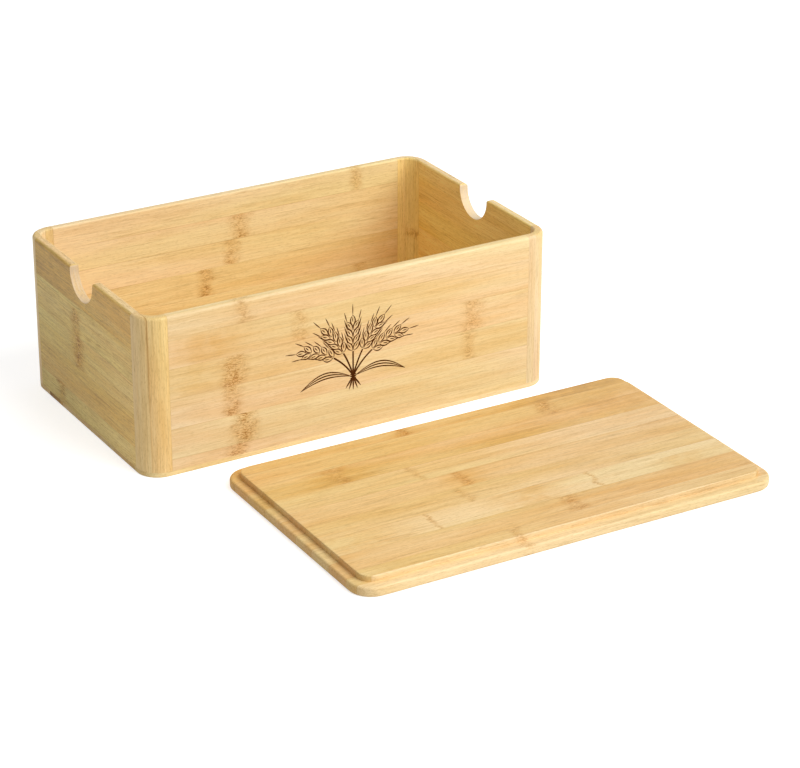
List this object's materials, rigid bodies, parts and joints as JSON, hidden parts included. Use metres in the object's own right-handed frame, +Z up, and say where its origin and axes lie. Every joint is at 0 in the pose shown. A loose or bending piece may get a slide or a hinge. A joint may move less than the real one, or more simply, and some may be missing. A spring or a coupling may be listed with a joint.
{
  "type": "bread box",
  "caption": "Open bread box of laminated bamboo with curved corner posts and finger notches in its ends, and a loose lid whose raised panel drops inside the walls.",
  "frame": {"origin": "centre of the box's flat underside, which stands on the table", "axes": "+Z up; +X along the box's length to the right; +Y to the back; the lid lies in front, towards -Y"},
  "size_m": [0.3856, 0.4341, 0.124],
  "materials": {
    "bamboo_wall": "laminated bamboo strips, clear satin lacquer",
    "bamboo_post": "upright bamboo strips, clear satin lacquer",
    "bamboo_base": "laminated bamboo strips, clear satin lacquer",
    "bamboo_lid": "laminated bamboo strips, clear satin lacquer"
  },
  "bodies": {
    "box": {"base_board": "bamboo_base", "front_wall": "bamboo_wall", "back_wall": "bamboo_wall", "left_wall": "bamboo_wall", "right_wall": "bamboo_wall", "front_left_post": "bamboo_post", "front_right_post": "bamboo_post", "back_left_post": "bamboo_post", "back_right_post": "bamboo_post"},
    "lid": {"lid_board": "bamboo_lid"}
  },
  "joints": [
    {"name": "lid_lift", "type": "slide", "parent": "box", "child": "lid", "axis": [0, 0, 1], "range_m": [0, 0.2]}
  ]
}
